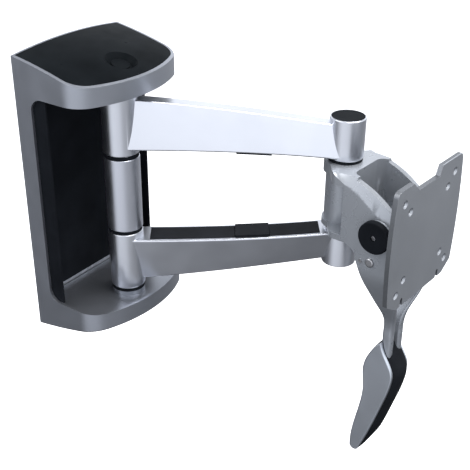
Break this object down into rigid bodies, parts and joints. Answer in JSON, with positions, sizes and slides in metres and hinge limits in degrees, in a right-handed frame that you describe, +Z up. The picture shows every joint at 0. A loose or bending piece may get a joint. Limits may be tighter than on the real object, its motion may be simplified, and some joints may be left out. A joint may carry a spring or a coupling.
{
  "type": "full motion tv wall mount",
  "caption": "Full motion wall mount for a small screen: D-shaped silver housing, paired arms on a column, cast swivel head, tilting plate and a leaf-shaped pull handle.",
  "frame": {"origin": "centre of the flat back of the wall plate, on the wall", "axes": "+Z up, +Y into the wall, so the mount stands out towards -Y and +X is to the right when facing the wall"},
  "size_m": [0.2717, 0.3538, 0.4676],
  "materials": {
    "housing_silver": "satin silver",
    "black_gloss": "gloss",
    "black_matt": "matt",
    "black_cover": "satin",
    "zinc_steel": "zinc plated",
    "steel": "turned",
    "spacer_silver": "satin silver",
    "arm_silver": "satin silver",
    "bracket_silver": "satin silver",
    "plate_silver": "satin silver grey",
    "nylon": "natural",
    "rubber": "fine grain",
    "grip_silver": "satin silver"
  },
  "bodies": {
    "wall_unit": {"housing_cover": "housing_silver", "top_lid": "black_gloss", "column_cap": "black_gloss", "back_liner": "black_matt", "wall_plate": "zinc_steel", "column_shaft": "steel", "column_nuts": "steel", "spacer_tube": "spacer_silver", "column_washers": "black_matt"},
    "arm": {"upper_arm": "arm_silver", "lower_arm": "arm_silver", "column_bushes": "nylon", "head_shaft": "steel", "head_end_caps": "black_gloss", "upper_cable_cover_wall": "black_cover", "upper_cable_clip": "black_cover", "upper_cable_cover_head": "black_cover", "lower_cable_cover_wall": "black_cover", "lower_cable_clip": "black_cover", "lower_cable_cover_head": "black_cover"},
    "head": {"head_bracket": "bracket_silver", "hub_bushes": "nylon", "head_washers": "black_matt", "tilt_bolt": "steel", "friction_washers": "nylon", "tilt_end_cap": "black_matt"},
    "knob": {"tilt_knob": "black_matt"},
    "screen_carrier": {"screen_plate": "plate_silver", "side_arm_left": "bracket_silver", "side_arm_right": "bracket_silver", "limit_screws": "steel", "side_rivets": "steel", "grip_core": "rubber", "grip_shell_left": "grip_silver", "grip_shell_right": "grip_silver"}
  },
  "joints": [
    {"name": "arm_swing", "type": "hinge", "parent": "wall_unit", "child": "arm", "pos_m": [0, -0.065, 0], "axis": [0, 0, 1], "range_deg": [-126, 54]},
    {"name": "head_swivel", "type": "hinge", "parent": "arm", "child": "head", "pos_m": [0.1346, -0.25027, 0], "axis": [0, 0, 1], "range_deg": [-50, 130]},
    {"name": "plate_tilt", "type": "hinge", "parent": "head", "child": "screen_carrier", "pos_m": [0.12993, -0.3171, -0.014], "axis": [0.9976, -0.0698, 0], "range_deg": [-15, 15]},
    {"name": "knob_turn", "type": "hinge", "parent": "head", "child": "knob", "pos_m": [0.12993, -0.3171, -0.014], "axis": [0.9976, -0.0698, 0], "range_deg": [-180, 180]}
  ]
}
